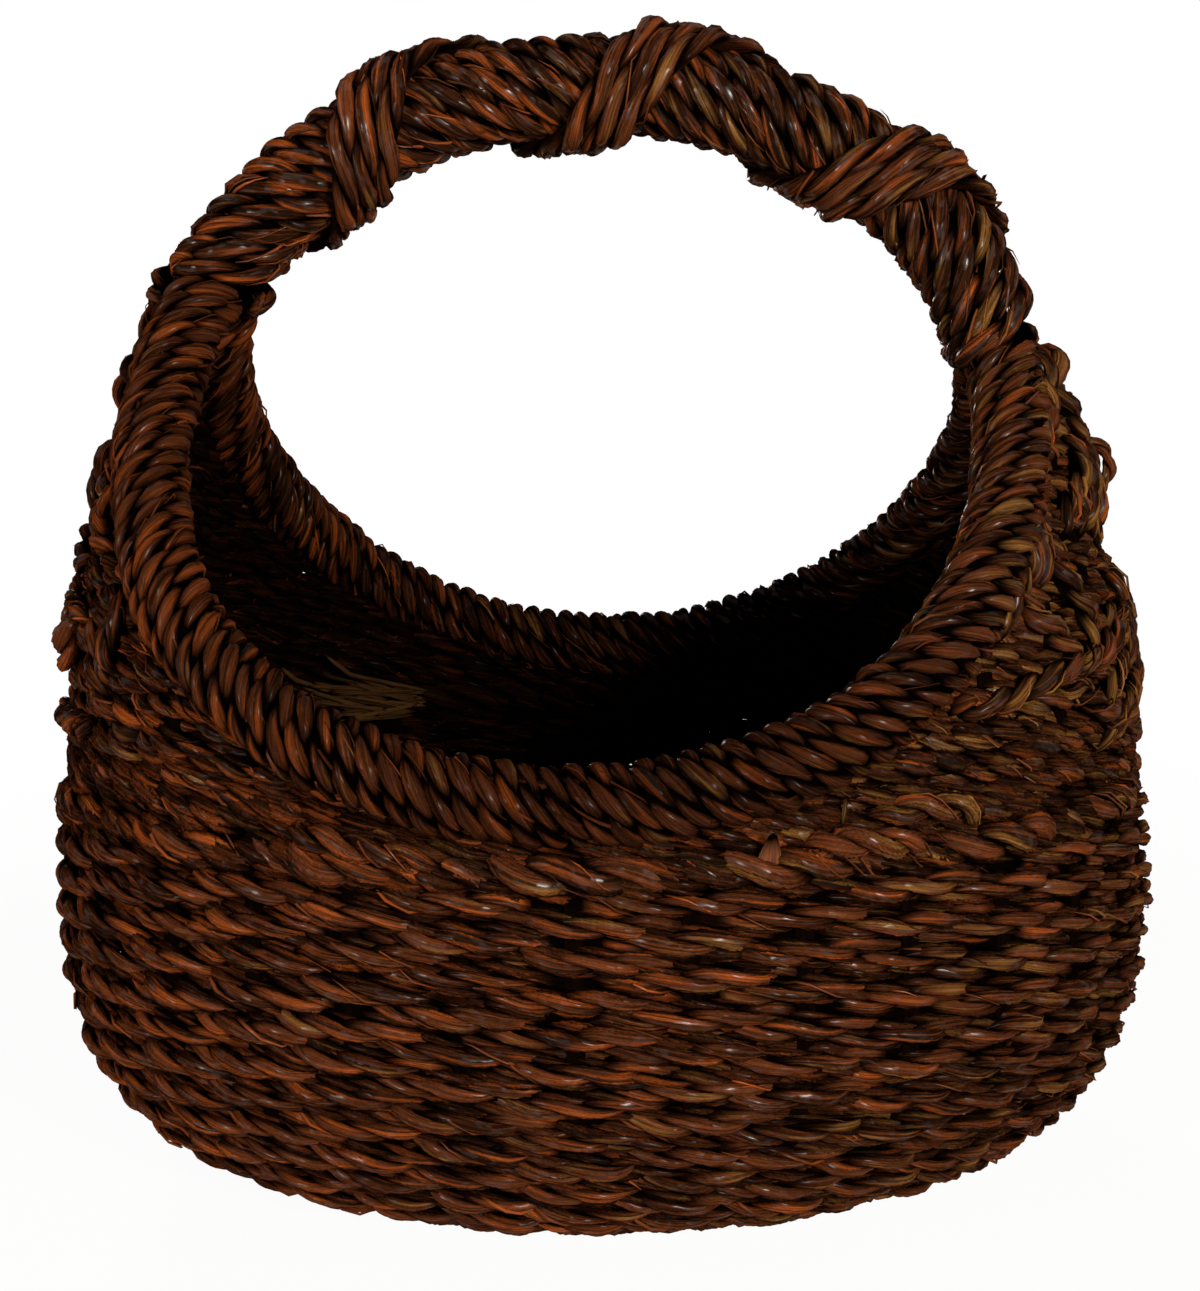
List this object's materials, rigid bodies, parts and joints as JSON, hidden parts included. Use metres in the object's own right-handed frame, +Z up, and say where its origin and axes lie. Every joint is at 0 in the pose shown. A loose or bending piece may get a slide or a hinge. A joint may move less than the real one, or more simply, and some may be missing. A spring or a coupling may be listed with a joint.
{
  "type": "ikebana basket",
  "caption": "Oval hand basket of dark rope woven on upright canes, with wrapped hoops bound together as an arched handle and parted as its rims, for arranging flowers.",
  "frame": {"origin": "on the floor, under the middle of the bowl", "axes": "+Z up, +X to the right along the bowl's long side and the handle, +Y to the back"},
  "size_m": [0.275, 0.2122, 0.2712],
  "materials": {
    "row_rope": "dark varnished twisted grass rope",
    "gore_rope": "dark varnished twisted grass rope, rougher and more golden",
    "wrap_rope": "dark varnished twisted grass rope, wound tight",
    "band_rope": "brown varnished twisted grass rope",
    "bare_cane": "dark stained cane"
  },
  "bodies": {
    "root": {"back_hoop_core": "bare_cane", "back_hoop_wrap_left": "wrap_rope", "back_hoop_wrap_right": "wrap_rope", "base_mat": "row_rope", "front_hoop_core": "bare_cane", "front_hoop_wrap_left": "wrap_rope", "front_hoop_wrap_right": "wrap_rope", "handle_band_1": "band_rope", "handle_band_2": "band_rope", "handle_band_3": "band_rope", "handle_wrap": "wrap_rope", "left_gore_rope": "gore_rope", "right_gore_rope": "gore_rope", "rim_border": "row_rope", "stake_01": "bare_cane", "stake_02": "bare_cane", "stake_03": "bare_cane", "stake_04": "bare_cane", "stake_05": "bare_cane", "stake_06": "bare_cane", "stake_07": "bare_cane", "stake_08": "bare_cane", "stake_09": "bare_cane", "stake_10": "bare_cane", "stake_11": "bare_cane", "stake_12": "bare_cane", "stake_13": "bare_cane", "stake_14": "bare_cane", "stake_15": "bare_cane", "stake_16": "bare_cane", "stake_17": "bare_cane", "stake_18": "bare_cane", "stake_19": "bare_cane", "stake_20": "bare_cane", "stake_21": "bare_cane", "stake_22": "bare_cane", "stake_23": "bare_cane", "stake_24": "bare_cane", "stake_25": "bare_cane", "stake_26": "bare_cane", "stake_27": "bare_cane", "stake_28": "bare_cane", "stake_29": "bare_cane", "stake_30": "bare_cane", "weave_row_01": "row_rope", "weave_row_02": "row_rope", "weave_row_03": "row_rope", "weave_row_04": "row_rope", "weave_row_05": "row_rope", "weave_row_06": "row_rope", "weave_row_07": "row_rope", "weave_row_08": "row_rope", "weave_row_09": "row_rope", "weave_row_10": "row_rope", "weave_row_11": "row_rope", "weave_row_12": "row_rope"}
  },
  "joints": []
}
